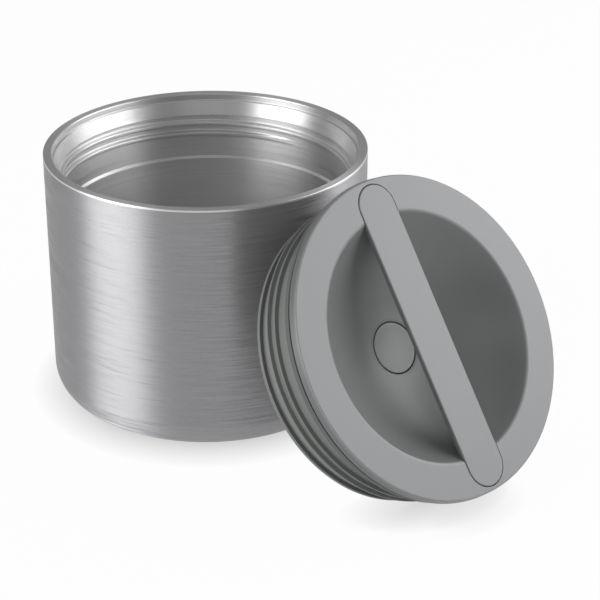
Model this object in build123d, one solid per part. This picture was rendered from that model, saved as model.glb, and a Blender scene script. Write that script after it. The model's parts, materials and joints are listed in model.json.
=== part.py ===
from build123d import *

import os
from math import cos, radians, sin, sqrt

# A wide double-walled food jar with its screw-in plug lid taken off and leaning against it.
# Millimetres. The jar stands on z = 0 with its axis on Z. The lid is drawn about its own axis,
# with its face at height 0 and its plug below, and is then set in its leaning place.

# ---- jar: driving dimensions ----
jar_radius = 57.0
jar_height = 92.0
wall_sheet = 0.8            # steel of the outer wall
liner_sheet = 0.8           # steel of the inner vessel
base_corner_radius = 11.5
foot_inset = 14.0           # from the jar's side in to the edge of the ring it stands on
plate_sheet = 0.8
plate_height = 3.0          # top of the base plate over the ground
cover_sheet = 0.7
cover_height = 0.5          # underside of the base cover over the ground
evacuation_hole_radius = 0.7
dimple_depth = 1.0
dimple_radius = 5.0
vacuum_floor_gap = 3.2      # between the base plate and the liner's floor
liner_corner_radius = 14.0
foil_gap = 0.3
foil_thickness = 0.15
foil_margin = 2.0           # bare height of the bowl above the foil
getter_offset = 24.0
getter_radius = 5.0
getter_height = 1.4
getter_cup_wall = 0.4
weld_gap = 0.05             # slip between parts that are welded, glued or pressed

# ---- jar mouth ----
rim_width = 3.1             # from the outer wall to the inside of the lip
lip_round = 0.6
lip_depth = 2.6             # from the rim down to the sealing land
lip_step = 0.6              # from the lip in to the land
land_length = 5.2           # smooth band that the gasket seals on
land_taper = 1.6            # how much the land narrows downwards
land_step = 0.1             # from the land's narrow end out to the thread's wall
neck_step = 0.8             # from the thread's wall in to the bowl
neck_depth = 25.0           # lower end of the neck
rib_top_gap = 1.6           # from the land down to the upper end of the inside thread
rib_turns = 1.5
rib_angle = 50.0            # where the inside thread starts, at its lower end

# ---- screw thread, shared by jar and lid ----
thread_lead = 4.0
thread_height = 1.4
thread_clearance = 0.4      # radial, between the lid's thread and the jar's
thread_root_width = 3.4
thread_crest_width = 0.6
thread_crest_offset = 0.85  # the lid's thread is steep above, where it pulls the lid down
rib_root_width = 2.4
rib_crest_width = 1.2
thread_fade = 40.0          # angle over which a thread rises from its wall
lid_thread_start = 6.3      # lower end over the plug's underside
lid_thread_turns = 1.65
lid_thread_angle = 40.0
thread_step = 20.0          # angle between the sections that shape a thread
thread_bite = 0.6           # how far a thread is rooted in its wall, also where the skirt narrows

# ---- lid ----
flange_reach = 0.7          # how far the flange lies over the jar's lip
flange_draft = 0.4          # how much smaller the flange is at its face
flange_thickness = 3.0
flange_width = 12.6         # from the flange's edge in to the dish
dish_depth = 19.7
dish_wall = 2.0
dish_edge_round = 2.0
foam_gap = 4.0              # least space between the dish and the plug's floor
plug_wall = 2.6
plug_floor = 2.2
plug_taper = 0.7            # how much the skirt narrows towards its lower end
plug_taper_length = 3.2
plug_groove_height = 2.1    # groove between the skirt and the plug's foot
plug_groove_depth = 0.9
plug_foot_height = 2.1
plug_foot_step = 0.2        # the foot is this much smaller than the threaded wall
plug_edge_round = 1.2
spigot_depth = 3.0          # ring of the cover that enters the plug's skirt
spigot_wall = 1.6
part_gap = 0.2              # between parts of the lid that are not fastened face to face
gasket_height = 3.7
gasket_lip = 4.2            # how far the gasket stands out of the skirt
gasket_taper = 0.45         # how much its lip narrows downwards
gasket_slot = 0.95          # space over the lip, in which it bends
gasket_wall = 0.9
collar_height = 1.0
collar_rise = 0.9

# ---- handle bar ----
bar_margin = 2.0            # from the bar's end to the flange's edge
bar_half_width = 7.65
bar_thickness = 2.0
bar_proud = 0.25
bar_edge_round = 0.35
bar_seam = 0.3              # gap round the bar in its pockets
peg_radius = 2.6
peg_margin = 1.6            # pegs stand this far outside the dish
peg_length = 5.0
boss_wall = 1.7
screw_radius = 1.4
screw_head_radius = 2.8
screw_head_height = 1.7
screw_depth = 3.6           # thread length in the peg

# ---- vent ----
button_radius = 8.65
button_gap = 0.3
button_top = 1.6
button_rim = 1.2
button_travel = 1.5
button_stop_gap = 0.3       # left under the pressed button
guide_wall = 1.3
ring_groove_depth = 0.65
ring_section = 0.45         # radius of the button's seal ring
stem_radius = 2.5
stem_running_gap = 0.06
stem_neck_radius = 2.0
stem_end = 0.8
bush_radius = 4.0
bush_flange_radius = 5.4
bush_flange = 0.5
vent_hole_radius = 1.0
vent_hole_circle = 6.9
vent_holes = 4
valve_radius = 9.2
valve_thickness = 1.2
valve_seat_gap = 0.1
clip_radius = 4.2
clip_thickness = 0.8
spring_wire = 0.4
spring_radius = 4.0
spring_turns = 2.25

# ---- how the lid leans on the jar ----
lean_side = -45.3           # angle about the jar's axis
lean_margin = 9.7           # the plug's edge meets the jar this far under the rim
lean_least = 12.0           # angle that the face looks up by at least, also beside a tall jar
lean_gap = 0.3              # between the plug's edge and the jar


def turned(points, rounds=None):
    """Body of revolution about Z from (r, z) points. rounds gives some points a fillet radius."""
    outline = make_face(Polyline(*points, close=True))
    for number, radius in (rounds or {}).items():
        corner = outline.vertices().sort_by_distance(Vector(*points[number], 0))[0]
        outline = fillet(corner, radius)
    return revolve(Plane.XZ * outline, Axis.Z)


def tube(inner, outer, low, high):
    return turned([(inner, low), (outer, low), (outer, high), (inner, high)])


def rod(radius, low, high):
    return Pos(0, 0, (low + high) / 2) * Cylinder(radius, high - low)


def ball(radius, height):
    return Pos(0, 0, height) * Sphere(radius)


def screw_ridge(wall_radius, rise, root_width, crest_width, crest_offset, low, angle, turns):
    """Helical ridge on a round wall. A negative rise points inwards. Both ends fade into the wall."""
    side = 1 if rise > 0 else -1
    total = 360.0 * turns
    count = round(total / thread_step)
    sections = []
    for number in range(count + 1):
        along = total * number / count
        share = min(1.0, along / thread_fade, (total - along) / thread_fade)
        height = rise * (0.02 + 0.98 * share)
        centre = low + thread_lead * along / 360
        root = root_width / 2
        crest = crest_width / 2 * (0.3 + 0.7 * share)
        meridian = Plane(
            origin=(0, 0, 0),
            x_dir=(cos(radians(angle + along)), sin(radians(angle + along)), 0),
            z_dir=(sin(radians(angle + along)), -cos(radians(angle + along)), 0),
        )
        outline = Polyline(
            (wall_radius - side * thread_bite, centre - root),
            (wall_radius + height, centre + crest_offset - crest),
            (wall_radius + height, centre + crest_offset + crest),
            (wall_radius - side * thread_bite, centre + root),
            close=True,
        )
        sections.append(meridian * make_face(outline))
    return loft(sections)


# ---- jar: every radius follows from the outer wall's ----
foot_radius = jar_radius - foot_inset
lip_radius = jar_radius - rim_width
land_radius = lip_radius - lip_step - land_taper
mouth_thread_radius = land_radius + land_step
thread_root_radius = mouth_thread_radius - thread_clearance - thread_height
liner_bowl_radius = mouth_thread_radius - neck_step
land_depth = lip_depth + land_length
rib_top_depth = land_depth + rib_top_gap
neck_joint = jar_height - neck_depth
liner_floor = plate_height + vacuum_floor_gap + liner_sheet


def make_outer_wall():
    top = jar_height - liner_sheet
    inner = jar_radius - wall_sheet
    points = [
        (foot_radius, 0),
        (jar_radius, 0),
        (jar_radius, top),
        (inner, top),
        (inner, wall_sheet),
        (foot_radius, wall_sheet),
    ]
    return turned(points, {1: base_corner_radius, 4: base_corner_radius - wall_sheet})


def make_base_plate():
    rim = foot_radius - weld_gap
    low = plate_height - plate_sheet
    dimple_top = plate_height + dimple_depth
    points = [
        (evacuation_hole_radius, dimple_top),
        (dimple_radius - dimple_depth - plate_sheet, dimple_top),
        (dimple_radius, plate_height),
        (rim, plate_height),
        (rim, cover_height / 2),
        (rim - plate_sheet, cover_height / 2),
        (rim - plate_sheet, low),
        (dimple_radius - plate_sheet / 2, low),
        (dimple_radius - dimple_depth - plate_sheet * 1.5, dimple_top - plate_sheet),
        (evacuation_hole_radius, dimple_top - plate_sheet),
    ]
    return turned(points)


def make_base_cover():
    radius = foot_radius - plate_sheet - 2 * weld_gap
    cover = rod(radius, cover_height, cover_height + cover_sheet)
    return fillet(cover.edges().filter_by(GeomType.CIRCLE).sort_by(Axis.Z)[0], cover_sheet / 2)


def make_vacuum_seal_bead():
    radius = dimple_radius - dimple_depth - plate_sheet * 1.5 - weld_gap
    top = plate_height + dimple_depth - plate_sheet - weld_gap
    return turned([(0, top - dimple_depth), (radius, top - dimple_depth / 2), (radius, top), (0, top)])


def make_getter_cup():
    low = plate_height
    cup = tube(0, getter_radius + getter_cup_wall, low, low + getter_height)
    cup -= rod(getter_radius, low + getter_cup_wall, low + getter_height)
    return Pos(getter_offset, 0, 0) * cup


def make_getter_pellet():
    low = plate_height + getter_cup_wall
    return Pos(getter_offset, 0, 0) * rod(getter_radius - weld_gap, low, low + getter_height / 2)


def make_liner_neck():
    rim_low = jar_height - liner_sheet
    land_top = jar_height - lip_depth
    land_low = jar_height - land_depth
    bowl_outer = liner_bowl_radius + liner_sheet
    shoulder = neck_joint + (mouth_thread_radius - liner_bowl_radius)
    points = [
        (liner_bowl_radius, neck_joint),
        (mouth_thread_radius, shoulder),
        (mouth_thread_radius, land_low - 2 * land_step),
        (land_radius, land_low),
        (land_radius + land_taper, land_top - lip_step / 3),
        (lip_radius, land_top),
        (lip_radius, jar_height),
        (jar_radius, jar_height),
        (jar_radius, rim_low),
        (lip_radius + liner_sheet, rim_low),
        (lip_radius + liner_sheet, land_top - liner_sheet / 2),
        (mouth_thread_radius + liner_sheet, land_low - liner_sheet / 4),
        (mouth_thread_radius + liner_sheet, shoulder),
        (bowl_outer, neck_joint),
    ]
    neck = turned(points, {6: lip_round, 7: lip_round / 2})
    rib_low = jar_height - rib_top_depth - rib_turns * thread_lead
    rib = screw_ridge(
        mouth_thread_radius, -thread_height, rib_root_width, rib_crest_width, 0, rib_low, rib_angle, rib_turns
    )
    return neck + rib


def make_liner_bowl():
    inner = liner_bowl_radius
    outer = inner + liner_sheet
    points = [
        (0, liner_floor - liner_sheet),
        (outer, liner_floor - liner_sheet),
        (outer, neck_joint),
        (inner, neck_joint),
        (inner, liner_floor),
        (0, liner_floor),
    ]
    return turned(points, {1: liner_corner_radius, 4: liner_corner_radius - liner_sheet})


def make_reflective_foil():
    inner = liner_bowl_radius + liner_sheet + foil_gap
    outer = inner + foil_thickness
    low = liner_floor - liner_sheet - foil_gap
    top = neck_joint - foil_margin
    corner = liner_corner_radius + foil_gap
    points = [
        (0, low - foil_thickness),
        (outer, low - foil_thickness),
        (outer, top),
        (inner, top),
        (inner, low),
        (0, low),
    ]
    return turned(points, {1: corner + foil_thickness, 4: corner})


# ---- lid, about its own axis with the face at height 0 ----
flange_radius = lip_radius + flange_reach
dish_radius = flange_radius - flange_width
bar_half_length = flange_radius - bar_margin
peg_offset = dish_radius + peg_margin
plug_depth = dish_depth + dish_wall + foam_gap + plug_floor
plug_foot_radius = thread_root_radius - plug_foot_step
collar_low = flange_thickness + gasket_height + collar_height + collar_rise
dish_ball = (dish_radius**2 + dish_depth**2) / (2 * dish_depth)
dish_centre = dish_ball - dish_depth
face_radius = flange_radius - flange_draft
skirt_inner = thread_root_radius - plug_wall
floor_top = -plug_depth + plug_floor
bar_underside = bar_proud - bar_thickness
boss_end = bar_underside - peg_length - part_gap
button_hole = button_radius + button_gap
guide_end = floor_top + part_gap


def dish_height(radius, extra=0.0):
    """Height of the dish, or of a surface that lies extra under it, at a radius."""
    return dish_centre - sqrt((dish_ball + extra) ** 2 - radius**2)


def bar_outline(grow, low, high):
    straight = bar_half_length - bar_half_width
    outline = SlotCenterToCenter(2 * straight, 2 * (bar_half_width + grow), rotation=90)
    return extrude(Pos(0, 0, low) * outline, high - low)


def at_pegs(piece):
    return [Pos(0, side * peg_offset, 0) * piece for side in (-1, 1)]


def make_lid_cover():
    flange = turned(
        [(0, 0), (face_radius, 0), (flange_radius, -flange_thickness), (0, -flange_thickness)],
        {1: 0.5},
    )
    spigot_outer = skirt_inner - part_gap
    dish_skin = ball(dish_ball + dish_wall, dish_centre) & rod(spigot_outer, -2 * dish_depth, 0)
    spigot = tube(
        spigot_outer - spigot_wall, spigot_outer, -flange_thickness - spigot_depth, -flange_thickness / 2
    )
    cover = flange + dish_skin + spigot
    for boss in at_pegs(rod(peg_radius + part_gap / 2 + boss_wall, boss_end, -flange_thickness / 2)):
        cover += boss & rod(spigot_outer, boss_end, 0)
    cover += rod(button_hole + guide_wall, guide_end, dish_height(button_hole + guide_wall))
    cover -= ball(dish_ball, dish_centre)
    cover -= rod(button_hole, guide_end, 0)
    rim = [e for e in cover.edges().filter_by(GeomType.CIRCLE) if abs(e.radius - dish_radius) < 0.01]
    cover = fillet(rim, dish_edge_round)
    cover -= bar_outline(bar_seam, bar_underside - weld_gap, flange_thickness)
    for hole in at_pegs(rod(peg_radius + part_gap / 2, boss_end, 0)):
        cover -= hole
    return cover


def make_handle_bar():
    bar = bar_outline(0, bar_underside, bar_proud)
    bar = fillet(bar.faces().sort_by(Axis.Z)[-1].edges(), bar_edge_round)
    bar = fillet(bar.faces().sort_by(Axis.Z)[0].edges(), bar_edge_round)
    for peg in at_pegs(rod(peg_radius, bar_underside - peg_length, bar_underside)):
        bar += peg
    for bore in at_pegs(rod(screw_radius, bar_underside - peg_length, boss_end + screw_depth)):
        bar -= bore
    return bar


def make_bar_screws():
    screw = rod(screw_head_radius, boss_end - screw_head_height, boss_end)
    screw = fillet(screw.edges().filter_by(GeomType.CIRCLE).sort_by(Axis.Z)[0], screw_head_height / 2)
    screw += rod(screw_radius - weld_gap, boss_end, boss_end + screw_depth - part_gap)
    low = boss_end - screw_head_height
    for turn in (0, 90):
        slot = Box(screw_head_radius, screw_head_height / 3, screw_head_height / 2)
        screw -= Pos(0, 0, low) * Rot(0, 0, turn) * slot
    return Compound(children=at_pegs(screw))


def make_lid_plug():
    top = -flange_thickness
    groove_low = top - gasket_height
    foot_top = plug_foot_height - plug_depth
    skirt_end = thread_root_radius - plug_taper
    skirt_low = foot_top + plug_groove_height
    points = [
        (0, -plug_depth),
        (plug_foot_radius, -plug_depth),
        (plug_foot_radius, foot_top),
        (skirt_end - plug_groove_depth, foot_top),
        (skirt_end - plug_groove_depth, skirt_low),
        (skirt_end, skirt_low),
        (thread_root_radius, skirt_low + plug_taper_length),
        (thread_root_radius, -collar_low),
        (thread_root_radius + collar_rise, groove_low - collar_height),
        (thread_root_radius + collar_rise, groove_low),
        (thread_root_radius, groove_low),
        (thread_root_radius, top),
        (skirt_inner, top),
        (skirt_inner, floor_top),
        (0, floor_top),
    ]
    plug = turned(points, {1: plug_edge_round, 2: plug_foot_step, 13: plug_wall / 2})
    plug += screw_ridge(
        thread_root_radius,
        thread_height,
        thread_root_width,
        thread_crest_width,
        thread_crest_offset,
        lid_thread_start - plug_depth,
        lid_thread_angle,
        lid_thread_turns,
    )
    plug -= rod(bush_radius + weld_gap, -plug_depth, floor_top)
    for number in range(vent_holes):
        turn = Rot(0, 0, 360 * number / vent_holes + 45)
        plug -= turn * Pos(vent_hole_circle, 0, 0) * rod(vent_hole_radius, -plug_depth, floor_top)
    return plug


def make_sealing_gasket():
    inner = thread_root_radius + part_gap / 4
    outer = thread_root_radius + gasket_lip
    top = -flange_thickness - part_gap / 2
    low = -flange_thickness - gasket_height + part_gap / 2
    lip_top = -flange_thickness - gasket_slot
    points = [
        (inner, low),
        (outer - gasket_taper, low),
        (outer, lip_top),
        (inner + gasket_wall, lip_top),
        (inner + gasket_wall, top),
        (inner, top),
    ]
    return turned(points, {1: gasket_taper, 2: gasket_taper / 2})


def make_insulation_ring():
    outer = skirt_inner - part_gap
    inner = button_hole + guide_wall + 2 * part_gap
    top = -flange_thickness - spigot_depth - part_gap
    low = floor_top + part_gap
    corner = plug_wall / 2
    ring = turned([(inner, low), (outer, low), (outer, top), (inner, top)], {1: corner})
    ring -= ball(dish_ball + dish_wall + part_gap, dish_centre)
    ring -= tube(bush_flange_radius, valve_radius + part_gap, low, top)
    for pocket in at_pegs(rod(peg_radius + boss_wall + 3 * part_gap, boss_end - screw_head_height - 1, 0)):
        ring -= pocket
    return ring.solids().sort_by(SortBy.VOLUME)[-1]


def make_stem_bush():
    bush = tube(stem_radius + stem_running_gap, bush_radius, -plug_depth, floor_top)
    return bush + tube(stem_radius + stem_running_gap, bush_flange_radius, floor_top, floor_top + bush_flange)


# ---- vent, pressed down along the lid's axis ----
button_low = floor_top + button_travel + button_stop_gap
button_ceiling = -dish_depth - button_top
valve_top = -plug_depth - valve_seat_gap
clip_top = valve_top - valve_thickness
stem_low = clip_top - clip_thickness - stem_end
ring_height = (button_low + dish_height(button_radius)) / 2


def make_vent_button():
    button = rod(button_radius, button_low, 0) - ball(dish_ball, dish_centre)
    button -= rod(button_radius - button_rim, button_low, button_ceiling)
    groove_floor = button_radius - ring_groove_depth
    return button - tube(groove_floor, button_radius + 1, ring_height - ring_section, ring_height + ring_section)


def make_button_seal_ring():
    section = ring_section - weld_gap
    return Pos(0, 0, ring_height) * Torus(button_hole - stem_running_gap - section, section)


def make_vent_stem():
    points = [
        (0, stem_low),
        (stem_radius, stem_low),
        (stem_radius, clip_top - clip_thickness - weld_gap),
        (stem_neck_radius, clip_top - clip_thickness - weld_gap),
        (stem_neck_radius, clip_top + weld_gap),
        (stem_radius, clip_top + weld_gap),
        (stem_radius, button_ceiling),
        (0, button_ceiling),
    ]
    return turned(points, {1: stem_end / 2})


def make_vent_spring():
    low = floor_top + bush_flange + spring_wire / 2 + weld_gap
    high = button_ceiling - spring_wire / 2 - weld_gap
    path = Helix((high - low) / spring_turns, high - low, spring_radius, center=(0, 0, low))
    section = Plane(origin=path @ 0, z_dir=path % 0) * Circle(spring_wire / 2)
    return sweep(section, path=path, is_frenet=True)


def make_valve_disc():
    inner = stem_radius + weld_gap
    points = [
        (inner, clip_top),
        (valve_radius * 0.6, clip_top),
        (valve_radius, valve_top - valve_thickness / 3),
        (valve_radius, valve_top),
        (inner, valve_top),
    ]
    return turned(points)


def make_stem_clip():
    clip = tube(stem_neck_radius + weld_gap, clip_radius, clip_top - clip_thickness, clip_top - weld_gap)
    mouth = Box(2 * clip_radius, 1.6 * stem_neck_radius, 2 * clip_thickness)
    return clip - Pos(clip_radius + 0.6 * stem_neck_radius, 0, clip_top - clip_thickness / 2) * mouth


# ---- where the lid leans: its plug's edge stands on the ground and lies against the jar ----
edge_depth = plug_depth - plug_edge_round
edge_radius = plug_foot_radius - plug_edge_round
lean_height = jar_height - lean_margin - plug_edge_round
rise_cos = min(lean_height / (2 * edge_radius), cos(radians(lean_least)))
rise_sin = sqrt(1 - rise_cos**2)
lid_height = edge_depth * rise_sin + edge_radius * rise_cos + plug_edge_round
lid_reach = jar_radius + lean_gap + edge_depth * rise_cos + edge_radius * rise_sin + plug_edge_round
side_cos = cos(radians(lean_side))
side_sin = sin(radians(lean_side))
lid_centre = (lid_reach * side_cos, lid_reach * side_sin, lid_height)
lid_axis = (rise_cos * side_cos, rise_cos * side_sin, rise_sin)
lid_place = Plane(origin=lid_centre, x_dir=(-side_sin, side_cos, 0), z_dir=lid_axis).location

jar_nodes = {
    "outer_wall": make_outer_wall,
    "base_plate": make_base_plate,
    "base_cover": make_base_cover,
    "vacuum_seal_bead": make_vacuum_seal_bead,
    "getter_cup": make_getter_cup,
    "getter_pellet": make_getter_pellet,
    "liner_neck": make_liner_neck,
    "liner_bowl": make_liner_bowl,
    "reflective_foil": make_reflective_foil,
}
lid_nodes = {
    "sealing_gasket": make_sealing_gasket,
    "lid_cover": make_lid_cover,
    "handle_bar": make_handle_bar,
    "bar_screws": make_bar_screws,
    "lid_plug": make_lid_plug,
    "insulation_ring": make_insulation_ring,
    "stem_bush": make_stem_bush,
    "vent_button": make_vent_button,
    "button_seal_ring": make_button_seal_ring,
    "vent_stem": make_vent_stem,
    "vent_spring": make_vent_spring,
    "valve_disc": make_valve_disc,
    "stem_clip": make_stem_clip,
}

os.makedirs("parts", exist_ok=True)
for name, make in jar_nodes.items():
    export_step(make(), f"parts/{name}.step")
for name, make in lid_nodes.items():
    export_step(lid_place * make(), f"parts/{name}.step")
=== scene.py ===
# %% [markdown]
# # An insulated food jar with its lid off
# The object is a wide double-walled steel jar. Its screw-in lid has been taken off and leans
# against it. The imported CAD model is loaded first, because it fixes every size and place. Each
# later step builds the skin of one real piece around it, with its finish.

import json
import math

import bmesh
import bpy
from mathutils import Matrix, Vector


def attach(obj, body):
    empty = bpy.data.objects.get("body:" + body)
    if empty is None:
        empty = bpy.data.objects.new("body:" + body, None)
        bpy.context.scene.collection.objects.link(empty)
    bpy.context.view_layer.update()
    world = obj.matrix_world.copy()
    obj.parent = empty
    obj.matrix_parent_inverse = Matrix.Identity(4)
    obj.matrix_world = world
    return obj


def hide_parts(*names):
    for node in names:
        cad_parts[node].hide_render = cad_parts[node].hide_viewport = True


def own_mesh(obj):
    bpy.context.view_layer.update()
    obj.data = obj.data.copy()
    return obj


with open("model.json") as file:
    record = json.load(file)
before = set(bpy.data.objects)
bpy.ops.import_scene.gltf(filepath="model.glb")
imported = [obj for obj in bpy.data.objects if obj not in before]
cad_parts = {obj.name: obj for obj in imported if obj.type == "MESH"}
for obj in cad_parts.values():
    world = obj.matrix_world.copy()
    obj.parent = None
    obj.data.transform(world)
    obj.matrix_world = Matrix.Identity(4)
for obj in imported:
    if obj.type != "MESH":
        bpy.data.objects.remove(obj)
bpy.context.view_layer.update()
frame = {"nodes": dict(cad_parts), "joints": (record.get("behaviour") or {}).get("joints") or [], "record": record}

# %% [markdown]
# The lid was drawn lying flat and was then leaned on the jar. The joint that unscrews it holds
# the middle of its face and the direction the face looks, and that is enough to find its place
# again. So every lid piece is made about the Z axis, face at height 0, and then moved there.
# Blender counts in metres. The sizes below are written in millimetres, as a maker reads them.

# %% Where the lid leans
MM = 0.001

joints = {joint["name"]: joint for joint in frame["joints"]}
unscrew = joints["lid_turn"]
lid_axis = Vector(unscrew["axis"]).normalized()
lid_across = Vector((-lid_axis.y, lid_axis.x, 0)).normalized()
lid_uphill = lid_axis.cross(lid_across)
lid_place = Matrix((lid_across, lid_uphill, lid_axis)).transposed().to_4x4()
lid_place.translation = Vector(unscrew["pos_m"])
print("the lid's face looks up by", round(math.degrees(math.asin(lid_axis.z)), 1), "degrees")

# %% [markdown]
# Nearly every piece here is round, so it starts as an outline of radius and height that is spun
# about an axis. Real edges are never quite sharp. A corner of the outline is rounded with a vertex
# bevel before the spin, which is cheaper and safer than a bevel on the finished mesh.

# %% Draw outlines and spin them
WELD = 1e-6  # metres within which two vertices are the same one


def round_corner(bm, corner, radius, segments):
    """Round one corner of a wire outline. The radius is in millimetres."""
    one, other = (edge.other_vert(corner).co - corner.co for edge in corner.link_edges)
    reach = radius * MM * math.tan((math.pi - one.angle(other)) / 2)
    bmesh.ops.bevel(
        bm, geom=[corner], offset=reach, offset_type="OFFSET", affect="VERTICES",
        segments=segments, profile=0.5, material=-1,
    )


def draw(points, rounds=None, closed=True, segments=4):
    """Wire outline in the XZ plane from (radius, height) points in millimetres.

    rounds gives some points, by their number, a fillet radius or a (radius, segments) pair.
    """
    bm = bmesh.new()
    corners = [bm.verts.new((radius * MM, 0, height * MM)) for radius, height in points]
    for number in range(len(corners) - (0 if closed else 1)):
        bm.edges.new((corners[number], corners[(number + 1) % len(corners)]))
    for number, fillet in (rounds or {}).items():
        radius, count = fillet if isinstance(fillet, tuple) else (fillet, segments)
        round_corner(bm, corners[number], radius, count)
    return bm


def spin_full(bm, steps=192):
    """Spin a whole outline once round the Z axis and close the seam and the poles."""
    bmesh.ops.spin(
        bm, geom=bm.verts[:] + bm.edges[:], cent=(0, 0, 0), axis=(0, 0, 1), dvec=(0, 0, 0),
        angle=math.tau, steps=steps, use_merge=True, use_normal_flip=False, use_duplicate=False,
    )
    bmesh.ops.remove_doubles(bm, verts=bm.verts, dist=WELD)
    bmesh.ops.recalc_face_normals(bm, faces=bm.faces)
    return bm


def spin_rising(bm, turns, rise, steps):
    """Spin a whole outline round the Z axis while it rises by so many millimetres in all."""
    bmesh.ops.spin(
        bm, geom=bm.verts[:] + bm.edges[:], cent=(0, 0, 0), axis=(0, 0, 1),
        dvec=(0, 0, rise * MM / steps), angle=math.tau * turns, steps=steps,
        use_merge=False, use_normal_flip=False, use_duplicate=False,
    )


# %% [markdown]
# A finished mesh becomes a piece in one place: it gets its name, the body it moves with, the CAD
# nodes it stands for and its material slot. Weighted normals keep the broad faces flat in the
# light while the small rounded edges catch it, as on a real moulding.

# %% Make a piece from a mesh
pieces = {}


def new_object(name, bm):
    """Turn a bmesh into an object of the scene."""
    mesh = bpy.data.meshes.new(name)
    bm.to_mesh(mesh)
    bm.free()
    made = bpy.data.objects.new(name, mesh)
    bpy.context.scene.collection.objects.link(made)
    return made


def make_piece(name, bm, body, slot, nodes, place=Matrix(), crease=35):
    """A finished piece in its place. Edges that turn by more than the crease stay sharp."""
    piece = new_object(name, bm)
    piece.data.transform(place)
    piece.data.shade_smooth()
    piece.data.set_sharp_from_angle(angle=math.radians(crease))
    evened = piece.modifiers.new("even_normals", "WEIGHTED_NORMAL")
    evened.keep_sharp = True
    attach(piece, body)
    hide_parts(*nodes)
    pieces[name] = (piece, slot)
    print(name, "on", body, "-", len(piece.data.polygons), "faces")
    return piece


# %% [markdown]
# The outer wall is one deep-drawn steel sheet. Its bottom corner is a large soft radius and its
# foot turns in to a ring. The outline follows both sides of the sheet, so the wall has its real
# thickness where it can be seen from below.

# %% Outer wall
JAR_RADIUS, JAR_HEIGHT, SHEET = 57.0, 92.0, 0.8
FOOT_RADIUS = 43.0
CORNER = 11.5
SHEET_EDGE = 0.3

wall = draw(
    [
        (FOOT_RADIUS, 0),
        (JAR_RADIUS, 0),
        (JAR_RADIUS, JAR_HEIGHT - SHEET),
        (JAR_RADIUS - SHEET, JAR_HEIGHT - SHEET),
        (JAR_RADIUS - SHEET, SHEET),
        (FOOT_RADIUS, SHEET),
    ],
    rounds={1: (CORNER, 20), 4: (CORNER - SHEET, 12), 5: SHEET_EDGE, 0: SHEET_EDGE},
)
make_piece("jar_wall", spin_full(wall, 256), "jar", "brushed_steel", ["outer_wall"])

# %% [markdown]
# Screw threads are the hardest shape on this object. A thread rises by its lead at each turn, so
# the outline of a single lead is spun once round with a small rise at every step. Copies of that
# lap are stacked one lead apart and welded into a wall. The ridge then fades into the wall at
# both ends, as a mould or a roller leaves it, and the wall is cut level above and below.

# %% Thread tools
LEAD = 4.0
THREAD_HEIGHT = 1.4
TURN_STEPS = 192
FADE = 40.0  # degrees over which a ridge sinks into its wall


def thread_wall(radius, rise, root, crest, offset, low, start, turns, bottom, top, soften):
    """Round wall between two heights with a helical ridge. A negative rise points inwards.

    root and crest are the ridge's widths, offset is how far the crest sits above the root's
    middle, low and start are the height and the angle at which the ridge begins.
    """
    bm = draw(
        [
            (radius, low - LEAD / 2),
            (radius, low - root / 2),
            (radius + rise, low + offset - crest / 2),
            (radius + rise, low + offset + crest / 2),
            (radius, low + root / 2),
            (radius, low + LEAD / 2),
        ],
        rounds={1: soften, 2: soften, 3: soften, 4: soften},
        closed=False,
        segments=3,
    )
    turn_to_start = Matrix.Rotation(math.radians(start), 3, "Z")
    bmesh.ops.rotate(bm, verts=bm.verts, cent=(0, 0, 0), matrix=turn_to_start)
    spin_rising(bm, 1, LEAD, TURN_STEPS)
    lap = bm.verts[:] + bm.edges[:] + bm.faces[:]
    first = -math.ceil((low - bottom) / LEAD) - 1
    last = math.ceil((top - low) / LEAD)
    for number in range(first, last + 1):
        if number:
            copied = bmesh.ops.duplicate(bm, geom=lap)["geom"]
            verts = [item for item in copied if isinstance(item, bmesh.types.BMVert)]
            bmesh.ops.translate(bm, vec=(0, 0, number * LEAD * MM), verts=verts)
    bmesh.ops.remove_doubles(bm, verts=bm.verts, dist=5 * WELD)
    fade_ends(bm, radius * MM, low * MM, math.radians(start), math.tau * turns)
    for height, direction in ((bottom, -1), (top, 1)):
        bmesh.ops.bisect_plane(
            bm, geom=bm.verts[:] + bm.edges[:] + bm.faces[:], dist=WELD / 10,
            plane_co=(0, 0, height * MM), plane_no=(0, 0, direction), clear_outer=True,
        )
    return bm


def fade_ends(bm, radius, low, start, length):
    """Sink the ridge into the wall outside its length, with a smooth ramp at each end."""
    for vert in bm.verts:
        angle = math.atan2(vert.co.y, vert.co.x) - start
        lap = round((vert.co.z - low) / (LEAD * MM) - angle / math.tau)
        along = angle + lap * math.tau
        share = min(1.0, max(0.0, min(along, length - along) / math.radians(FADE)))
        share = share * share * (3 - 2 * share)
        now = vert.co.xy.length
        wanted = radius + (now - radius) * share
        vert.co.xy *= wanted / now


def open_ring(bm, height):
    """The open edges of a mesh that lie at one height, in millimetres."""
    return [
        edge for edge in bm.edges
        if edge.is_boundary and all(abs(v.co.z - height * MM) < 5 * WELD for v in edge.verts)
    ]


def grow_along(bm, ring, points, rounds):
    """Extrude an open ring along an outline, ring by ring, from the outline's first point."""
    path = draw(points, rounds, closed=False)
    radius, height = points[0]
    start = Vector((radius * MM, 0, height * MM))
    here = next(vert for vert in path.verts if (vert.co - start).length < WELD)
    edge = here.link_edges[0]
    while edge:
        here = edge.other_vert(here)
        grown = bmesh.ops.extrude_edge_only(bm, edges=ring)["geom"]
        ring = [item for item in grown if isinstance(item, bmesh.types.BMEdge)]
        verts = [item for item in grown if isinstance(item, bmesh.types.BMVert)]
        scale = here.co.x / verts[0].co.xy.length
        bmesh.ops.scale(bm, vec=(scale, scale, 1), verts=verts)
        bmesh.ops.translate(bm, vec=(0, 0, here.co.z - verts[0].co.z), verts=verts)
        edge = next((other for other in here.link_edges if other != edge), None)
    path.free()


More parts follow.
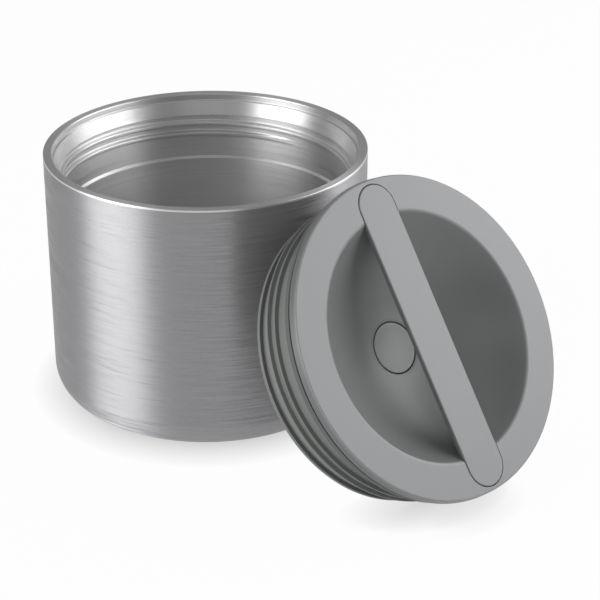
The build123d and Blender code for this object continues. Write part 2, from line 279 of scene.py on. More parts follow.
def close_shell(bm):
    """Weld a grown shell at its poles and turn its faces outwards."""
    bmesh.ops.remove_doubles(bm, verts=bm.verts, dist=WELD)
    bmesh.ops.dissolve_degenerate(bm, edges=bm.edges, dist=WELD / 10)
    bmesh.ops.recalc_face_normals(bm, faces=bm.faces)
    return bm


# %% [markdown]
# The liner is the inner vessel. It is one continuous skin: from the rim over the lip, down past
# the smooth band that the gasket seals on, through the rolled thread and into the deep bowl. It
# starts as the threaded part of the neck.

# %% Threaded neck of the liner
LAND_DEPTH, LAND_STEP = 7.8, 0.2
THREAD_WALL = 51.8
NECK_JOINT = JAR_HEIGHT - 25.0
BOWL_RADIUS = 51.0
RIB_TURNS = 1.5
RIB_TOP_DEPTH = 9.4

neck_low = NECK_JOINT + (THREAD_WALL - BOWL_RADIUS)
neck_cut = neck_low + 0.1
neck_top = JAR_HEIGHT - LAND_DEPTH - LAND_STEP
liner = thread_wall(
    THREAD_WALL, rise=-THREAD_HEIGHT, root=2.2, crest=1.2, offset=0.0,
    low=JAR_HEIGHT - RIB_TOP_DEPTH - RIB_TURNS * LEAD, start=50.0, turns=RIB_TURNS,
    bottom=neck_cut, top=neck_top, soften=0.45,
)
print("threaded neck:", len(liner.faces), "faces")

# %% [markdown]
# The two open ends of the neck then grow. The lower one follows the inside of the bowl. The upper
# one goes over the lip and down the hidden side of the sheet. Both end at the axis, where the
# last weld closes them.

# %% Bowl, lip and hidden side of the liner
LIP_RADIUS, LIP_DEPTH = 53.9, 2.6
LAND_RADIUS, LAND_TAPER = 51.7, 1.6
BOWL_FLOOR = 7.0
BOWL_CORNER = 14.0

grow_along(
    liner,
    open_ring(liner, neck_cut),
    [
        (THREAD_WALL, neck_cut),
        (THREAD_WALL, neck_low),
        (BOWL_RADIUS, NECK_JOINT),
        (BOWL_RADIUS, BOWL_FLOOR),
        (0, BOWL_FLOOR),
    ],
    rounds={3: (BOWL_CORNER - SHEET, 16)},
)
grow_along(
    liner,
    open_ring(liner, neck_top),
    [
        (THREAD_WALL, neck_top),
        (LAND_RADIUS, neck_top + LAND_STEP),
        (LAND_RADIUS + LAND_TAPER, JAR_HEIGHT - LIP_DEPTH - LAND_STEP),
        (LIP_RADIUS, JAR_HEIGHT - LIP_DEPTH),
        (LIP_RADIUS, JAR_HEIGHT),
        (JAR_RADIUS, JAR_HEIGHT),
        (JAR_RADIUS, JAR_HEIGHT - SHEET),
        (LIP_RADIUS + SHEET, JAR_HEIGHT - SHEET),
        (LIP_RADIUS + SHEET, JAR_HEIGHT - LIP_DEPTH - SHEET / 2),
        (THREAD_WALL + SHEET, JAR_HEIGHT - LAND_DEPTH - SHEET / 4),
        (THREAD_WALL + SHEET, neck_low),
        (BOWL_RADIUS + SHEET, NECK_JOINT),
        (BOWL_RADIUS + SHEET, BOWL_FLOOR - SHEET),
        (0, BOWL_FLOOR - SHEET),
    ],
    rounds={1: 0.3, 2: 0.3, 3: 0.3, 4: (0.6, 6), 5: 0.35, 12: (BOWL_CORNER, 12)},
)
make_piece(
    "jar_liner", close_shell(liner), "jar", "polished_steel", ["liner_neck", "liner_bowl"]
)

# %% [markdown]
# Under the jar a pressed plate closes the vacuum space and a thin disc covers the plate. Both sit
# inside the foot ring. They are seen only when the jar is lifted, but then they have to be there.

# %% Base plate and base cover
SLIP = 0.05  # millimetres between two pieces that sit on each other
PLATE_TOP, PLATE_FOOT = 3.0, 0.25
COVER_TOP, COVER_LOW, COVER_PLAY = 1.2, 0.5, 0.1

plate_rim = FOOT_RADIUS - SLIP
plate = draw(
    [
        (0, PLATE_TOP),
        (plate_rim, PLATE_TOP),
        (plate_rim, PLATE_FOOT),
        (plate_rim - SHEET, PLATE_FOOT),
        (plate_rim - SHEET, PLATE_TOP - SHEET),
        (0, PLATE_TOP - SHEET),
    ],
    rounds={1: 0.6, 4: 0.2},
    closed=False,
)
make_piece("base_pan", spin_full(plate, 128), "jar", "plain_steel", ["base_plate"])

cover_rim = FOOT_RADIUS - SHEET - COVER_PLAY
disc = draw(
    [(0, COVER_TOP), (cover_rim, COVER_TOP), (cover_rim, COVER_LOW), (0, COVER_LOW)],
    rounds={2: 0.35, 1: 0.1},
    closed=False,
)
make_piece("base_disc", spin_full(disc, 128), "jar", "plain_steel", ["base_cover"])

# %% [markdown]
# The lid's cover is a flat flange with a dish pressed deep into it, so that fingers reach under
# the bar. The dish is part of a sphere. Its arc is drawn by spinning one vertex about the
# sphere's centre.

# %% Curve of the dish
DISH_RADIUS, DISH_DEPTH, DISH_WALL = 42.0, 19.7, 2.0

dish_ball = (DISH_RADIUS**2 + DISH_DEPTH**2) / (2 * DISH_DEPTH)
dish_centre = dish_ball - DISH_DEPTH


def dish_height(radius):
    """Height of the dish's surface under the face, at a radius from its middle."""
    return dish_centre - math.sqrt(dish_ball**2 - radius**2)


def draw_arc(bm, start, end_radius, steps):
    """Add an arc about the dish's centre to a wire, from a vertex out or in to another radius."""
    ball = math.hypot(start.co.x, start.co.z - dish_centre * MM)
    sweep = math.asin(end_radius * MM / ball) - math.asin(start.co.x / ball)
    known = set(bm.verts)
    bmesh.ops.spin(
        bm, geom=[start], cent=(0, 0, dish_centre * MM), axis=(0, -1, 0), dvec=(0, 0, 0),
        angle=sweep, steps=steps, use_merge=False, use_normal_flip=False, use_duplicate=False,
    )
    return sorted(set(bm.verts) - known, key=lambda vert: vert.co.x, reverse=sweep < 0)[-1]


def add_line(bm, start, points):
    """Go on from a vertex through (radius, height) points, and return the vertices made."""
    made = [start]
    for radius, height in points:
        made.append(bm.verts.new((radius * MM, 0, height * MM)))
        bm.edges.new(made[-2:])
    return made[1:]


print("the dish is part of a ball of", round(dish_ball, 1), "mm")

# %% [markdown]
# The outline of the cover goes from the hole for the vent button up the dish, over the flange,
# down the spigot that sits in the plug, back under the dish, and down a guide for the button.

# %% Lid cover
FLANGE_RADIUS, FACE_RADIUS, FLANGE = 54.6, 54.2, 3.0
SPIGOT_LENGTH, SPIGOT_WALL = 3.0, 1.6
UNDER_FLANGE = 1.0
BUTTON_HOLE, GUIDE_WALL = 8.95, 1.3
PLUG_RADIUS, PLUG_DEPTH, PLUG_WALL, PLUG_FLOOR = 50.0, 27.9, 2.6, 2.2
PLAY = 0.2

spigot = PLUG_RADIUS - PLUG_WALL - PLAY
floor_top = -PLUG_DEPTH + PLUG_FLOOR
cover = bmesh.new()
inner_edge = cover.verts.new((BUTTON_HOLE * MM, 0, dish_height(BUTTON_HOLE) * MM))
dish_edge = draw_arc(cover, inner_edge, DISH_RADIUS, 28)

under_ball = dish_ball + DISH_WALL
under_height = -FLANGE - UNDER_FLANGE
under_radius = math.sqrt(under_ball**2 - (dish_centre - under_height) ** 2)
rim = add_line(
    cover,
    dish_edge,
    [
        (FACE_RADIUS, 0),
        (FLANGE_RADIUS, -FLANGE),
        (spigot, -FLANGE),
        (spigot, -FLANGE - SPIGOT_LENGTH),
        (spigot - SPIGOT_WALL, -FLANGE - SPIGOT_LENGTH),
        (spigot - SPIGOT_WALL, under_height),
        (under_radius, under_height),
    ],
)

guide = BUTTON_HOLE + GUIDE_WALL
guide_end = floor_top + PLAY
guide_top = draw_arc(cover, rim[-1], guide, 16)
guide_foot = add_line(cover, guide_top, [(guide, guide_end), (BUTTON_HOLE, guide_end)])[-1]
cover.edges.new((inner_edge, guide_foot))
for corner, radius, segments in (
    (rim[0], 0.5, 5),
    (rim[1], 0.25, 3),
    (dish_edge, 2.0, 8),
    (inner_edge, 0.2, 3),
):
    round_corner(cover, corner, radius, segments)
spin_full(cover, 224)
print("cover before its pockets:", len(cover.faces), "faces")

# %% [markdown]
# Two pockets in the flange take the ends of the bar. They are cut with a Boolean, because their
# stadium shape crosses the round edge of the dish. A stadium starts as a plain rectangle, and a
# vertex bevel as wide as half of it turns both short sides into half circles.

# %% Pockets for the bar
BAR_HALF_LENGTH, BAR_HALF_WIDTH = 52.6, 7.65
BAR_THICKNESS, BAR_PROUD, BAR_SEAM = 2.0, 0.25, 0.3
CUT_ABOVE = 3.0


def stadium(half_width, half_length, low, high):
    """Closed block with two straight sides and two round ends, along Y."""
    bm = bmesh.new()
    bmesh.ops.create_grid(bm, x_segments=1, y_segments=1, size=0.5)
    bmesh.ops.scale(bm, vec=(2 * half_width * MM, 2 * half_length * MM, 1), verts=bm.verts)
    bmesh.ops.bevel(
        bm, geom=bm.verts[:], offset=half_width * MM, offset_type="OFFSET", affect="VERTICES",
        segments=24, profile=0.5, material=-1,
    )
    bmesh.ops.remove_doubles(bm, verts=bm.verts, dist=10 * WELD)
    bmesh.ops.translate(bm, vec=(0, 0, low * MM), verts=bm.verts)
    grown = bmesh.ops.extrude_face_region(bm, geom=bm.faces[:])["geom"]
    top = [item for item in grown if isinstance(item, bmesh.types.BMVert)]
    bmesh.ops.translate(bm, vec=(0, 0, (high - low) * MM), verts=top)
    bmesh.ops.recalc_face_normals(bm, faces=bm.faces)
    return bm


def cut(block, cutter):
    """Subtract one bmesh from another with an exact Boolean and return the result."""
    blocks = [new_object("block", bm) for bm in (block, cutter)]
    boolean = blocks[0].modifiers.new("cut", "BOOLEAN")
    boolean.operation = "DIFFERENCE"
    boolean.solver = "EXACT"
    boolean.object = blocks[1]
    result = bmesh.new()
    result.from_object(blocks[0], bpy.context.evaluated_depsgraph_get())
    for used in blocks:
        mesh = used.data
        bpy.data.objects.remove(used)
        bpy.data.meshes.remove(mesh)
    return result


bar_underside = BAR_PROUD - BAR_THICKNESS
pockets = stadium(
    BAR_HALF_WIDTH + BAR_SEAM, BAR_HALF_LENGTH + BAR_SEAM, bar_underside - SLIP, CUT_ABOVE
)
cover = cut(cover, pockets)
make_piece("lid_top", cover, "lid", "grey_plastic", ["lid_cover"], lid_place, crease=30)

# %% [markdown]
# The carry bar is a flat strip whose round ends lie in the pockets, a hair above the flange. Its
# edges are softened with an edge bevel. Two pegs under its ends take the screws.

# %% Carry bar
BAR_EDGE = 0.35
PEG_RADIUS, PEG_LENGTH, PEG_PLACE, PEG_MIDDLE = 2.6, 5.2, 43.6, 2.4


def add_rod(bm, radius, length, segments, place):
    """Add a closed cylinder. place moves its middle from the origin."""
    bmesh.ops.create_cone(
        bm, cap_ends=True, segments=segments, radius1=radius * MM, radius2=radius * MM,
        depth=length * MM, matrix=place,
    )


def shift(x, y, z):
    """Matrix of a move in millimetres."""
    return Matrix.Translation((x * MM, y * MM, z * MM))


bar = stadium(BAR_HALF_WIDTH, BAR_HALF_LENGTH, bar_underside, BAR_PROUD)
bar_edges = [edge for edge in bar.edges if abs(edge.verts[0].co.z - edge.verts[1].co.z) < WELD]
bmesh.ops.bevel(
    bar, geom=bar_edges, offset=BAR_EDGE * MM, offset_type="OFFSET", affect="EDGES",
    segments=4, profile=0.5, material=-1,
)
for side in (-1, 1):
    place = shift(0, side * PEG_PLACE, bar_underside - PEG_MIDDLE)
    add_rod(bar, PEG_RADIUS, PEG_LENGTH, 32, place)
make_piece("carry_bar", bar, "lid", "grey_plastic", ["handle_bar"], lid_place)

# %% [markdown]
# The plug below the flange carries the lid's own thread. It is steep above, where it pulls the
# lid down, and slopes below. The plug starts from its threaded wall, as the liner does. Near its
# lower end the skirt narrows a little, so that it finds its way into the mouth.

# %% Threaded wall of the plug
SKIRT_LOW, TAPER, TAPER_LENGTH = -23.7, 0.7, 3.2
TAPER_CUT = 0.2
BAND_TOP = -8.6
THREAD_FOOT = 6.3

band_low = SKIRT_LOW + TAPER_CUT
plug = thread_wall(
    PLUG_RADIUS, rise=THREAD_HEIGHT, root=3.0, crest=0.6, offset=0.85,
    low=THREAD_FOOT - PLUG_DEPTH, start=40.0, turns=1.65, bottom=band_low, top=BAND_TOP,
    soften=0.25,
)
for vert in plug.verts:
    share = max(0.0, 1 - (vert.co.z / MM - SKIRT_LOW) / TAPER_LENGTH)
    vert.co.xy *= 1 - TAPER * share / PLUG_RADIUS
print("threaded plug:", len(plug.faces), "faces")

# %% [markdown]
# Above the thread a small collar holds the gasket in its groove. Below it a deep groove sets off
# the round foot. The wall's upper end grows over the collar, past the gasket's groove and down the
# inside, and its lower end grows round the foot and under the floor.

# %% Collar, inside and foot of the plug
GASKET = 3.7
COLLAR, COLLAR_WIDTH = PLUG_RADIUS + 0.9, 1.0
FOOT_GROOVE, FOOT_HEIGHT, FOOT_STEP = 0.9, 2.1, 0.2

groove = -FLANGE - GASKET
grow_along(
    plug,
    open_ring(plug, BAND_TOP),
    [
        (PLUG_RADIUS, BAND_TOP),
        (COLLAR, groove - COLLAR_WIDTH),
        (COLLAR, groove),
        (PLUG_RADIUS, groove),
        (PLUG_RADIUS, -FLANGE),
        (PLUG_RADIUS - PLUG_WALL, -FLANGE),
        (PLUG_RADIUS - PLUG_WALL, floor_top),
        (0, floor_top),
    ],
    rounds={1: (0.2, 2), 2: (0.2, 2), 6: 1.1},
)
skirt_end = PLUG_RADIUS - TAPER
foot_top, foot_radius = FOOT_HEIGHT - PLUG_DEPTH, PLUG_RADIUS - FOOT_STEP
grow_along(
    plug,
    open_ring(plug, band_low),
    [
        (skirt_end + TAPER * TAPER_CUT / TAPER_LENGTH, band_low),
        (skirt_end, SKIRT_LOW),
        (skirt_end - FOOT_GROOVE, SKIRT_LOW),
        (skirt_end - FOOT_GROOVE, foot_top),
        (foot_radius, foot_top),
        (foot_radius, -PLUG_DEPTH),
        (0, -PLUG_DEPTH),
    ],
    rounds={1: 0.15, 2: 0.2, 3: 0.2, 4: 0.25, 5: (1.2, 8)},
)
close_shell(plug)
print("closed plug:", len(plug.faces), "faces")

# %% [markdown]
# The floor of the plug has one hole in the middle for the bush that guides the vent's stem, and
# four small ones round it that let the air in.

# %% Holes in the plug's floor
BUSH_HOLE = 4.05
VENT_HOLE, VENT_HOLES, VENT_CIRCLE = 1.0, 4, 6.9
CUT_LENGTH, CUT_MIDDLE = 6.0, -26.0

holes = bmesh.new()
add_rod(holes, BUSH_HOLE, CUT_LENGTH, 48, shift(0, 0, CUT_MIDDLE))
for number in range(VENT_HOLES):
    around = Matrix.Rotation(math.tau * (number + 0.5) / VENT_HOLES, 4, "Z")
    add_rod(holes, VENT_HOLE, CUT_LENGTH, 24, around @ shift(VENT_CIRCLE, 0, CUT_MIDDLE))
make_piece("plug_body", cut(plug, holes), "lid", "plug_plastic", ["lid_plug"], lid_place)

# %% [markdown]
# The gasket is a silicone ring in the groove under the flange. Its thick lip presses on the
# narrowing band of the jar's mouth, and the slot above the lip gives it room to bend. It turns
# freely in its groove, so it rides on a body of its own that rises without turning.

# %% Gasket
GASKET_PLAY, GASKET_WALL = 0.1, 0.95
GASKET_REACH, GASKET_ROUND, SLOT_DEPTH = 4.2, 0.45, 0.95

gasket_top, gasket_low = -FLANGE - GASKET_PLAY, groove + GASKET_PLAY
gasket_inside = PLUG_RADIUS + SLIP
gasket_lip, lip_top = PLUG_RADIUS + GASKET_REACH, -FLANGE - SLOT_DEPTH
gasket = draw(
    [
        (gasket_inside, gasket_low),
        (gasket_lip - GASKET_ROUND, gasket_low),
        (gasket_lip, lip_top),
        (PLUG_RADIUS + GASKET_WALL, lip_top),
        (PLUG_RADIUS + GASKET_WALL, gasket_top),
        (gasket_inside, gasket_top),
    ],
    rounds={1: GASKET_ROUND, 2: 0.25, 3: 0.2},
)
make_piece(
    "gasket_ring", spin_full(gasket), "seal", "grey_silicone", ["sealing_gasket"], lid_place
)

# %% [markdown]
# The vent button closes the hole in the dish, and its top carries on the dish's curve. Pressing
# it lets air in, so that a lid that has sucked itself tight comes off.

# %% Vent button
BUTTON_RADIUS, BUTTON_SKIRT, BUTTON_TOP = 8.65, 1.2, 1.6
BUTTON_ROOM = 1.8

button_low = floor_top + BUTTON_ROOM
button_ceiling = -DISH_DEPTH - BUTTON_TOP
button = bmesh.new()
middle = button.verts.new((0, 0, dish_height(0) * MM))
button_edge = draw_arc(button, middle, BUTTON_RADIUS, 8)
add_line(
    button,
    button_edge,
    [
        (BUTTON_RADIUS, button_low),
        (BUTTON_RADIUS - BUTTON_SKIRT, button_low),
        (BUTTON_RADIUS - BUTTON_SKIRT, button_ceiling),
        (0, button_ceiling),
    ],
)
round_corner(button, button_edge, 0.25, 4)
make_piece(
    "button_cap", spin_full(button, 96), "vent", "grey_plastic", ["vent_button"], lid_place
)

# %% [markdown]
# A stem runs from the button through the floor of the plug. It holds a soft disc that covers the
# four small holes from below. The stem has a groove under the disc, where a clip sits.

# %% Valve disc and stem
VALVE_RADIUS, VALVE_RIM, VALVE_THICK = 9.2, 0.4, 1.2
VALVE_HUB, VALVE_BORE = 5.52, 2.55
STEM_RADIUS, STEM_GROOVE = 2.5, 2.0
CLIP_THICK, STEM_TIP = 0.8, 0.8

valve_top = -PLUG_DEPTH - 0.1
valve_low = valve_top - VALVE_THICK
valve = draw(
    [
        (VALVE_BORE, valve_low),
        (VALVE_HUB, valve_low),
        (VALVE_RADIUS, valve_top - VALVE_RIM),
        (VALVE_RADIUS, valve_top),
        (VALVE_BORE, valve_top),
    ],
    rounds={1: 0.5, 2: 0.15, 3: 0.1, 0: 0.15},
)
make_piece(
    "vent_flap", spin_full(valve, 96), "vent", "grey_silicone", ["valve_disc"], lid_place
)

stem_low = valve_low - CLIP_THICK - STEM_TIP
clip_low, clip_high = valve_low - CLIP_THICK - SLIP, valve_low + SLIP
stem = draw(
    [
        (0, stem_low),
        (STEM_RADIUS, stem_low),
        (STEM_RADIUS, clip_low),
        (STEM_GROOVE, clip_low),
        (STEM_GROOVE, clip_high),
        (STEM_RADIUS, clip_high),
        (STEM_RADIUS, button_ceiling),
        (0, button_ceiling),
    ],
    rounds={1: 0.4},
    closed=False,
)
make_piece("stem_rod", spin_full(stem, 64), "vent", "white_plastic", ["vent_stem"], lid_place)

# %% [markdown]
# A coil spring lifts the button again. It is a small circle spun about the stem with a rise at every step. It
# rides with the button. How much of its length it would keep with the button pressed is worked out and printed.

# %% Vent spring
SPRING_RADIUS, SPRING_WIRE, SPRING_TURNS = 4.0, 0.2, 2.25
SPRING_STEPS, WIRE_SIDES = 144, 12
BUSH_FLANGE = 0.5

spring_low, spring_high = floor_top + BUSH_FLANGE, button_ceiling
coil_low, coil_high = spring_low + SPRING_WIRE + SLIP, spring_high - SPRING_WIRE - SLIP
coil = bmesh.new()
section = shift(SPRING_RADIUS, 0, coil_low) @ Matrix.Rotation(math.pi / 2, 4, "X")
bmesh.ops.create_circle(
    coil, cap_ends=False, segments=WIRE_SIDES, radius=SPRING_WIRE * MM, matrix=section
)
spin_rising(coil, SPRING_TURNS, coil_high - coil_low, SPRING_STEPS)
wire_ends = [edge for edge in coil.edges if edge.is_boundary]
bmesh.ops.holes_fill(coil, edges=wire_ends, sides=WIRE_SIDES)
bmesh.ops.recalc_face_normals(coil, faces=coil.faces)
spring = make_piece("vent_coil", coil, "vent", "plain_steel", ["vent_spring"], lid_place)

pressed_share = joints["vent_press"]["range_m"][1] / ((spring_high - spring_low) * MM)
1 - pressed_share
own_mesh(spring)
print("pressed, the spring keeps", round(1 - pressed_share, 2), "of its length")

# %% [markdown]
# Shader maths is easier to read as arithmetic than as boxes and wires. A Wire wraps one output
# socket, and adding or multiplying wires adds the Math nodes. Every other node comes from one
# method of the finish, which takes the node's type, its settings and its inputs.

# %% A small language for materials


class Wire:
    """One output socket of a finish. Arithmetic on it adds Math nodes."""

    def __init__(self, finish, socket):
        self.finish = finish
        self.socket = socket

    def math(self, operation, one, other):
        return self.finish.node("ShaderNodeMath", {"operation": operation}, {0: one, 1: other})

    def __add__(self, other):
        return self.math("ADD", self, other)

    def __sub__(self, other):
        return self.math("SUBTRACT", self, other)

    def __rsub__(self, other):
        return self.math("SUBTRACT", other, self)

    def __mul__(self, other):
        return self.math("MULTIPLY", self, other)

    __radd__ = __add__
    __rmul__ = __mul__


class Finish:
    """A material whose nodes are added one call at a time."""

    def __init__(self, name):
        self.name = name
        self.material = bpy.data.materials.new(name)
        self.material.use_nodes = True
        self.tree = self.material.node_tree
        self.shader = self.tree.nodes["Principled BSDF"]

    def node(self, kind, settings=None, inputs=None, output=0):
        made = self.tree.nodes.new(kind)
        for setting, value in (settings or {}).items():
            setattr(made, setting, value)
        for name, value in (inputs or {}).items():
            self.plug(made.inputs[name], value)
        return Wire(self, made.outputs[output])

    def plug(self, socket, value):
        if isinstance(value, Wire):
            self.tree.links.new(value.socket, socket)
        else:
            socket.default_value = value

    def surface(self, **values):
        """Set the shader's own sockets, such as base_color=..., roughness=..."""
        for name, value in values.items():
            socket = name.replace("_", " ").title().replace("Ior", "IOR")
            self.plug(self.shader.inputs[socket], value)

    def coordinates(self, scale=(1, 1, 1)):
        """Object coordinates in metres, multiplied by a scale."""
        place = self.node("ShaderNodeTexCoord", output="Object")
        return self.node("ShaderNodeMapping", {}, {"Vector": place, "Scale": scale})

    def noise(self, vector, scale, detail, roughness=0.6):
        return self.node(
            "ShaderNodeTexNoise", {},
            {"Vector": vector, "Scale": scale, "Detail": detail, "Roughness": roughness},
        )

    def blend(self, factor, first, second):
        """Mix two colours by a factor."""
        return self.node(
            "ShaderNodeMix", {"data_type": "RGBA"}, {0: factor, 6: first, 7: second}, output=2
        )

    def bump(self, height, distance, strength):
        return self.node(
            "ShaderNodeBump", {}, {"Height": height, "Distance": distance, "Strength": strength}
        )


def grey(level, tint=(1.0, 1.0, 1.0)):
    """A grey of one level. The tint multiplies its red, green and blue."""
    return tuple(level * part for part in tint) + (1.0,)


finishes = {}


def keep(finish):
    """Put a finish on the shelf under its own name."""
    finishes[finish.name] = finish
    print("finish", finish.name, "of", len(finish.tree.nodes), "nodes")


# %% [markdown]
# Brushed steel is drawn against an abrasive belt while the jar turns, which leaves fine scratches
# round it. Noise that is stretched flat gives them: long in X and Y, very short in Z. They vary
# the colour, the roughness and a small bump. The shader's anisotropy spreads every reflection
# across the scratches, so a lamp shows as a tall band, and a quarter turn sets that direction.

# %% Brushed steel
HAIRS, STROKES = (80, 80, 4400), (36, 36, 1900)
STEEL_TINT = (1.0, 0.99, 1.02)
QUARTER_TURN = 0.25

brushed = Finish("brushed_steel")
hairs = brushed.noise(brushed.coordinates(HAIRS), 1.0, 2.0)
strokes = brushed.noise(brushed.coordinates(STROKES), 1.0, 2.0)
marks = hairs * 0.5 + strokes * 0.5
contrast = marks * 3.6 - 1.3
brushed.surface(
    base_color=brushed.blend(contrast, grey(0.31, STEEL_TINT), grey(0.46, STEEL_TINT)),
    metallic=1.0,
    roughness=contrast * 0.32 + 0.34,
    anisotropic=0.9,
    anisotropic_rotation=QUARTER_TURN,
    normal=brushed.bump(marks, 0.00005, 0.7),
)
keep(brushed)

# %% [markdown]
# The liner is rolled and then brushed more finely in the same direction, so it is brighter than
# the outside. The plates, screws and the spring have a plain mill finish.

# %% Polished and plain steel
ROLLED = (18, 18, 2600)

polished = Finish("polished_steel")
rolled = polished.noise(polished.coordinates(ROLLED), 1.0, 3.0)
polished.surface(
    base_color=polished.blend(rolled, grey(0.58), grey(0.82)),
    metallic=1.0,
    roughness=rolled * 0.3 + 0.28,
    anisotropic=0.8,
    anisotropic_rotation=QUARTER_TURN,
    normal=polished.bump(rolled, 0.00002, 0.35),
)
keep(polished)

plain = Finish("plain_steel")
mill = plain.noise(plain.coordinates(), 400.0, 4.0)
plain.surface(
    base_color=plain.blend(mill, grey(0.36), grey(0.48)),
    metallic=1.0,
    roughness=mill * 0.2 + 0.3,
    normal=plain.bump(mill, 0.00003, 0.4),
)
keep(plain)

# %% [markdown]
# The lid is moulded in a matte grey. A mould for such a part is blasted, and the surface keeps
# that fine grain: it is too small to see as dots, but it breaks up the highlights. The plug has
# nearly the same grey, and the silicone of its gasket is the dullest of the three.

# %% Moulded plastics and silicone


def moulded(name, low, high, rough, grain=2600.0, depth=0.00002, tint=(1, 1, 1), shine=0.5):
    """Add a moulded finish between two greys, and return the wire of its colour."""
    finish = Finish(name)
    place = finish.coordinates()
    blasted = finish.noise(place, grain, 2.0)
    flow = finish.noise(place, 25.0, 3.0, 0.5)
    colour = finish.blend(flow * 0.7 + blasted * 0.3, grey(low, tint), grey(high, tint))
    finish.surface(
        base_color=colour,
        roughness=flow * 0.05 + blasted * 0.08 + rough,
        specular_ior_level=shine,
        normal=finish.bump(blasted, depth, 0.5),
    )
    keep(finish)
    return colour


dull = moulded("grey_plastic", 0.168, 0.188, 0.30, tint=(0.97, 1.0, 1.005))
moulded("plug_plastic", 0.152, 0.172, 0.36, tint=(0.96, 1.0, 0.965), shine=0.32)
moulded("grey_silicone", 0.100, 0.115, 0.60, tint=(0.96, 1.0, 0.97), shine=0.2)
moulded("white_plastic", 0.70, 0.76, 0.4)
moulded("foam", 0.72, 0.85, 0.85, grain=900.0, depth=0.0002, tint=(1.0, 0.99, 0.95))

# %% [markdown]
# Only the flat face and the top of the bar are painted lighter and bluer, a painted sheen for the glare that the
# lamps leave on them. The narrow side of the flange is painted the darkest, a painted shade. The material finds
# the face by its height along the lid's axis, which is a dot product of the place and the axis. It finds the side
# by its distance from the middle of the face.

# %% Painted sheen on the face and painted shade on the side
# Painted sheen: how much lighter and bluer the face is painted, and where that painting ends.
PAINTED_SHEEN_GAIN, PAINTED_SHEEN_TINT = 0.52, (1.0, 0.96, 1.06)
SHEEN_MASK_EDGE, SHEEN_MASK_SLOPE = 0.4, 4.0  # millimetres under the face where it ends, and how abruptly
# Painted shade: how much darker the flange's side is painted, and where that painting starts.
PAINTED_SHADE_LOSS = 0.3
SHADE_MASK_START, SHADE_MASK_SLOPE = FACE_RADIUS + 0.05, 8.0

cover_finish = finishes["grey_plastic"]
along_axis = cover_finish.node(
    "ShaderNodeVectorMath", {"operation": "DOT_PRODUCT"},
    {0: cover_finish.coordinates(), 1: lid_axis / MM}, output="Value",
)
from_middle = cover_finish.node(
    "ShaderNodeVectorMath", {"operation": "DISTANCE"},
    {0: cover_finish.coordinates(), 1: lid_place.translation}, output="Value",
)
# Mask of the painted sheen, 1 on the flat face and on what stands above it.
painted_sheen_mask = cover_finish.node(
    "ShaderNodeMath", {"operation": "MULTIPLY_ADD", "use_clamp": True},
    {
        0: along_axis - lid_axis.dot(lid_place.translation) / MM,
        1: SHEEN_MASK_SLOPE,
        2: SHEEN_MASK_SLOPE * SHEEN_MASK_EDGE,
    },
)
# Mask of the painted shade, 1 on the narrow side of the flange.
painted_shade_mask = cover_finish.node(
    "ShaderNodeMath", {"operation": "MULTIPLY_ADD", "use_clamp": True},
    {0: from_middle, 1: SHADE_MASK_SLOPE / MM, 2: -SHADE_MASK_SLOPE * SHADE_MASK_START},
)
# The painted sheen lightens the colour on the face.
painted_sheen_share = cover_finish.node(
    "ShaderNodeVectorMath", {"operation": "SCALE"}, {0: dull, "Scale": painted_sheen_mask}
)
with_painted_sheen = cover_finish.node(
    "ShaderNodeVectorMath", {"operation": "MULTIPLY_ADD"},
    {0: painted_sheen_share, 1: tuple(PAINTED_SHEEN_GAIN * part for part in PAINTED_SHEEN_TINT), 2: dull},
)
# The painted shade darkens the colour on the flange's side.
with_painted_shade = cover_finish.node(
    "ShaderNodeVectorMath", {"operation": "SCALE"},
    {0: with_painted_sheen, "Scale": 1.0 - painted_shade_mask * PAINTED_SHADE_LOSS},
)
cover_finish.surface(base_color=with_painted_shade)
print("the cover has", len(cover_finish.tree.nodes), "shader nodes")

# %% [markdown]
# Three small finishes are sealed inside the double wall. No one sees them, but whoever cuts the
# model open should find the right metals there.

# %% Solder, getter and foil
for name, colour, rough in (
    ("solder", (0.45, 0.45, 0.44, 1.0), 0.45),
    ("getter_metal", (0.30, 0.30, 0.31, 1.0), 0.65),
    ("copper_foil", (0.72, 0.40, 0.26, 1.0), 0.25),
):
    metal = Finish(name)
    crinkle = metal.noise(metal.coordinates(), 350.0, 4.0)
    metal.surface(
        base_color=metal.blend(crinkle, tuple(0.85 * part for part in colour), colour),
        metallic=1.0,
        roughness=crinkle * 0.15 + rough,
        normal=metal.bump(crinkle, 0.00008, 0.5),
    )
    keep(metal)

# %% [markdown]
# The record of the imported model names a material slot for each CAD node, and each new piece has
# named its own. Every node and piece now gets the finish of that name. The nodes that no piece
# stands for are dressed and shown as they are.

# %% Give every piece and every CAD node its finish
slot_of_node = {part["node"]: part["material_slot"] for part in frame["record"]["subparts"]}
dressed = [(frame["nodes"][node], slot) for node, slot in slot_of_node.items()]
for item, slot in dressed + list(pieces.values()):
    item.data.materials.clear()
    item.data.materials.append(finishes[slot].material)
print("finishes:", ", ".join(finishes))

# %% [markdown]
# The stage is a pale floor in an evenly lit room. A studio floor burns out to white, yet it keeps
# the soft shadow where the object stands. So the floor mixes its own lit surface with a white
# glow, which is seen by the camera and in mirrors and glass but lights nothing, and an ambient
# occlusion node dims that glow beside the object.

# %% Floor and world
FLOOR_RADIUS = 4.0
FLOOR_GLOW = 0.97
SHADOW_REACH, SHADOW_TONE = 0.012, 0.62
WORLD_LEVEL = 0.3

floor_disc = bmesh.new()
bmesh.ops.create_circle(floor_disc, cap_ends=True, segments=64, radius=FLOOR_RADIUS)
floor = new_object("floor", floor_disc)

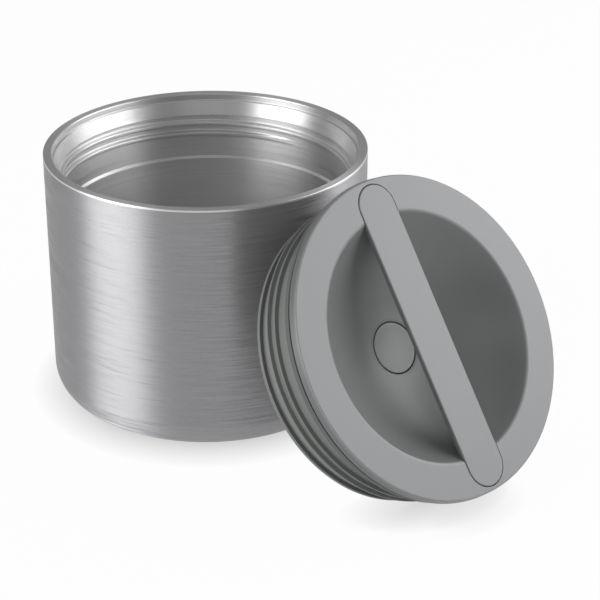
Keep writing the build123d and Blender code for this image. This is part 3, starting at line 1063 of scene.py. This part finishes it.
pale = Finish("pale_floor")
pale.surface(base_color=grey(0.8), roughness=0.9)
to_camera, to_gloss, to_glass = (
    pale.node("ShaderNodeLightPath", output=f"Is {kind} Ray")
    for kind in ("Camera", "Glossy", "Transmission")
)
seen = to_camera.math("MAXIMUM", to_camera, to_gloss.math("MAXIMUM", to_gloss, to_glass))
openness = pale.node("ShaderNodeAmbientOcclusion", {}, {"Distance": SHADOW_REACH}, output="AO")
shade = pale.blend(openness, grey(SHADOW_TONE), grey(1.0))
glow = pale.node("ShaderNodeEmission", {}, {"Color": shade, "Strength": 1.0})
lit = Wire(pale, pale.shader.outputs["BSDF"])
mixed = pale.node("ShaderNodeMixShader", {}, {0: seen * FLOOR_GLOW, 1: lit, 2: glow})
pale.plug(pale.tree.nodes["Material Output"].inputs["Surface"], mixed)
floor.data.materials.append(pale.material)

world = bpy.data.worlds.new("studio")
bpy.context.scene.world = world
world.use_nodes = True
background = world.node_tree.nodes["Background"]
background.inputs["Color"].default_value = grey(1.0)
background.inputs["Strength"].default_value = WORLD_LEVEL
print("floor of", FLOOR_RADIUS, "m radius, world at", WORLD_LEVEL)

# %% [markdown]
# Soft lamps stand round the set, placed by their angle round it and their height. A wide one on
# the left draws the bright band down the steel and lights the side of the plug. The two on the
# right light the lid's face, and a weak one in front fills the shadows.

# %% Lamps
STAGE_CENTRE = Vector((0.03, -0.03, 0.05))


def add_lamp(name, side, height, distance, wide, tall, radiance):
    """Rectangular lamp aimed at the set, its place given by two angles in degrees.

    side is counted round the set from the camera's side, and height up from the floor.
    """
    side, height = math.radians(side), math.radians(height)
    level = math.cos(height)
    away = Vector((level * math.sin(side), -level * math.cos(side), math.sin(height)))
    lamp = bpy.data.lights.new(name, "AREA")
    lamp.shape = "RECTANGLE"
    lamp.size, lamp.size_y = wide, tall
    lamp.energy = radiance * math.pi * wide * tall
    holder = bpy.data.objects.new(name, lamp)
    holder.location = STAGE_CENTRE + distance * away
    holder.rotation_euler = away.to_track_quat("Z", "Y").to_euler()
    bpy.context.scene.collection.objects.link(holder)
    print(name, "gives", round(lamp.energy, 2), "W")


add_lamp("left_strip", side=-64, height=15, distance=0.8, wide=0.58, tall=0.50, radiance=5.8)
add_lamp("right_bank", side=84, height=24, distance=0.8, wide=0.58, tall=0.40, radiance=3.8)
add_lamp("right_rear", side=117, height=26, distance=0.8, wide=0.35, tall=0.45, radiance=3.2)
add_lamp("front_top", side=0, height=38, distance=0.9, wide=0.60, tall=0.30, radiance=0.8)

# %% [markdown]
# The camera stands about 0.6 m in front of the jar and looks down on it by a little more than a
# quarter of a right angle, so the mouth opens into a flat ellipse.

# %% Camera
CAMERA_PLACE = (0.03314, -0.6238, 0.33825)
LOOK_DOWN = 26.18
SENSOR_WIDTH, LENS = 36.0, 114.0

camera_data = bpy.data.cameras.new("camera")
camera_data.sensor_width = SENSOR_WIDTH
camera_data.lens = LENS
camera = bpy.data.objects.new("camera", camera_data)
camera.location = CAMERA_PLACE
camera.rotation_euler = (math.radians(90 - LOOK_DOWN), 0, 0)
bpy.context.scene.collection.objects.link(camera)
bpy.context.scene.camera = camera
bpy.context.scene.view_settings.view_transform = "Standard"
print("camera of", LENS, "mm looks down by", LOOK_DOWN, "degrees")
